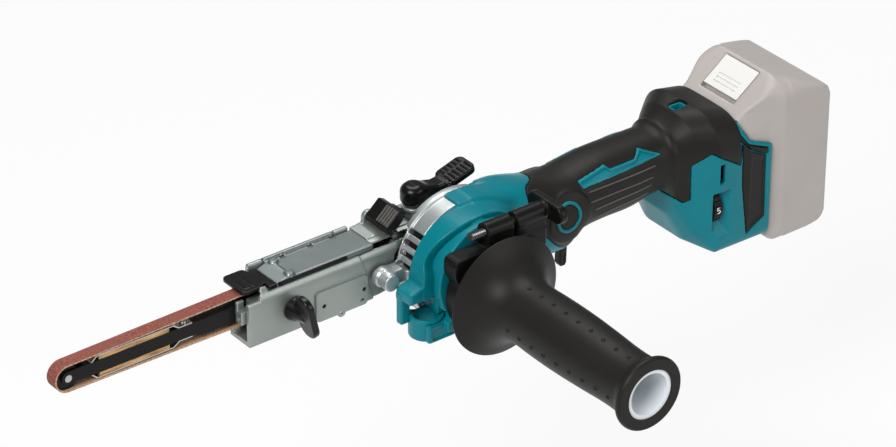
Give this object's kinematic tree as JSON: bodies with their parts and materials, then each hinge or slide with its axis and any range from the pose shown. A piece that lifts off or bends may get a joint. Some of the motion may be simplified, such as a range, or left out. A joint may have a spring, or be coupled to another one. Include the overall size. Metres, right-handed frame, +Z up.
{
  "type": "belt sander",
  "caption": "Cordless belt file: narrow abrasive belt on a swinging arm, cross-mounted motor head, clamped side handle, straight main handle and slide-on battery.",
  "frame": {"origin": "under the middle of the tool's box, at the height of the battery's lower face", "axes": "+X from the belt tip to the battery, +Z up, -Y towards the side handle's free end"},
  "size_m": [0.5494, 0.232, 0.1175],
  "materials": {
    "teal_plastic": "fine satin moulding",
    "soft_grip": "matte soft overmould",
    "black_plastic": "satin moulding",
    "black_steel": "black oxide",
    "cast_aluminium": "fine blasted casting",
    "steel": "bright",
    "abrasive": "coarse grit on cloth",
    "tan_pad": "felt",
    "drive_rubber": "plain",
    "copper": "windings and laminations",
    "white_plastic": "smooth",
    "grey_plastic": "satin moulding",
    "board": "coated board",
    "cell": "shrink sleeve",
    "contact": "bright"
  },
  "bodies": {
    "tool_body": {"drive_case": "cast_aluminium", "bearing_plate": "cast_aluminium", "bearing_plate_screws": "steel", "shaft_bearings": "steel", "toothed_belt": "drive_rubber", "lock_bolt": "steel", "head_housing": "teal_plastic", "dust_port": "teal_plastic", "stator": "copper", "motor_bearings": "steel", "handle_shell_left": "teal_plastic", "handle_shell_right": "teal_plastic", "grip_overmould": "soft_grip", "round_caps": "soft_grip", "base_housing": "teal_plastic", "base_shoulder": "soft_grip", "vent_panels": "black_plastic", "controller_board": "board", "terminal_block": "black_plastic"},
    "arm_unit": {"arm_housing": "cast_aluminium", "side_plate": "cast_aluminium", "side_plate_screws": "steel", "lid_hinge_pin": "steel", "tension_lever_pin": "steel", "tension_spring": "steel", "abrasive_belt": "abrasive"},
    "arm_bar": {"belt_arm": "black_steel", "tip_pin": "steel", "upper_shoe": "steel", "lower_shoe": "steel", "upper_pad": "tan_pad", "lower_pad": "tan_pad", "shoe_screws": "steel", "arm_holder": "cast_aluminium"},
    "tip_wheel": {"tip_roller": "black_plastic"},
    "lid": {"housing_lid": "cast_aluminium", "lid_tab": "black_plastic"},
    "knob": {"wing_knob": "black_plastic", "wing_knob_screw": "steel"},
    "slack_lever": {"tension_lever": "black_plastic"},
    "motor_rotor": {"rotor": "steel", "motor_shaft": "steel", "cooling_fan": "black_plastic", "motor_pulley": "steel"},
    "drive_wheel": {"drive_pulley": "steel", "drive_shaft": "steel", "shaft_pulley": "steel"},
    "swing_lock": {"lock_lever": "black_plastic"},
    "side_handle": {"side_handle_hub": "black_plastic", "side_handle_tube": "white_plastic", "side_handle_grip": "soft_grip"},
    "handle_clamp": {"clamp_bolt": "steel", "clamp_wing": "black_plastic"},
    "dial": {"speed_dial": "grey_plastic"},
    "switch": {"slide_switch": "black_plastic"},
    "battery": {"battery_case": "grey_plastic", "battery_cells": "cell", "battery_terminals": "contact"},
    "release": {"battery_button": "white_plastic"}
  },
  "joints": [
    {"name": "arm_swing", "type": "hinge", "parent": "tool_body", "child": "arm_unit", "pos_m": [-0.03069, 0.09, 0.074], "axis": [0, -1, 0], "range_deg": [0, 60]},
    {"name": "arm_slide", "type": "slide", "parent": "arm_unit", "child": "arm_bar", "axis": [1, 0, 0], "range_m": [0, 0.006], "stiffness_N_per_m": 800, "springref_m": -0.012, "deforming": ["tension_spring"]},
    {"name": "tip_roller_spin", "type": "hinge", "parent": "arm_bar", "child": "tip_wheel", "pos_m": [-0.26575, 0.09, 0.074], "axis": [0, 1, 0], "continuous": true},
    {"name": "lid_hinge", "type": "hinge", "parent": "arm_unit", "child": "lid", "pos_m": [-0.09325, 0.1029, 0.0886], "axis": [-1, 0, 0], "range_deg": [0, 100]},
    {"name": "knob_turn", "type": "hinge", "parent": "arm_bar", "child": "knob", "pos_m": [-0.11525, 0.0675, 0.069], "axis": [0, 1, 0], "range_deg": [0, 180]},
    {"name": "slack_lever_turn", "type": "hinge", "parent": "arm_unit", "child": "slack_lever", "pos_m": [-0.04125, 0.09, 0.092], "axis": [0, 1, 0], "range_deg": [0, 25]},
    {"name": "rotor_spin", "type": "hinge", "parent": "tool_body", "child": "motor_rotor", "pos_m": [-0.00325, 0.0415, 0.063], "axis": [0, 1, 0], "continuous": true},
    {"name": "drive_wheel_spin", "type": "hinge", "parent": "tool_body", "child": "drive_wheel", "pos_m": [-0.03069, 0.09, 0.074], "axis": [0, 1, 0], "continuous": true},
    {"name": "swing_lock_turn", "type": "hinge", "parent": "tool_body", "child": "swing_lock", "pos_m": [-0.00825, 0.1015, 0.096], "axis": [0, 0, 1], "range_deg": [0, 90]},
    {"name": "side_handle_swivel", "type": "hinge", "parent": "tool_body", "child": "side_handle", "pos_m": [-0.00325, 0.0305, 0.063], "axis": [0, 1, 0], "range_deg": [-90, 90]},
    {"name": "handle_clamp_turn", "type": "hinge", "parent": "side_handle", "child": "handle_clamp", "pos_m": [0.03675, 0.0305, 0.1035], "axis": [1, 0, 0], "range_deg": [0, 180]},
    {"name": "dial_turn", "type": "hinge", "parent": "tool_body", "child": "dial", "pos_m": [0.18425, 0.0529, 0.043], "axis": [1, 0, 0], "range_deg": [0, 240]},
    {"name": "switch_slide", "type": "slide", "parent": "tool_body", "child": "switch", "axis": [-1, 0, 0], "range_m": [0, 0.006]},
    {"name": "battery_slide", "type": "slide", "parent": "tool_body", "child": "battery", "axis": [0, 0, 1], "range_m": [0, 0.1]},
    {"name": "release_press", "type": "slide", "parent": "battery", "child": "release", "axis": [-0.8115, 0, -0.5843], "range_m": [0, 0.0025], "stiffness_N_per_m": 400, "springref_m": -0.002}
  ],
  "couplings": [
    {"joint": "drive_wheel_spin", "follows": "rotor_spin", "ratio": 1},
    {"joint": "tip_roller_spin", "follows": "rotor_spin", "ratio": 1.3529},
    {"joint": "slack_lever_turn", "follows": "arm_slide", "rad_per_m": 72}
  ]
}
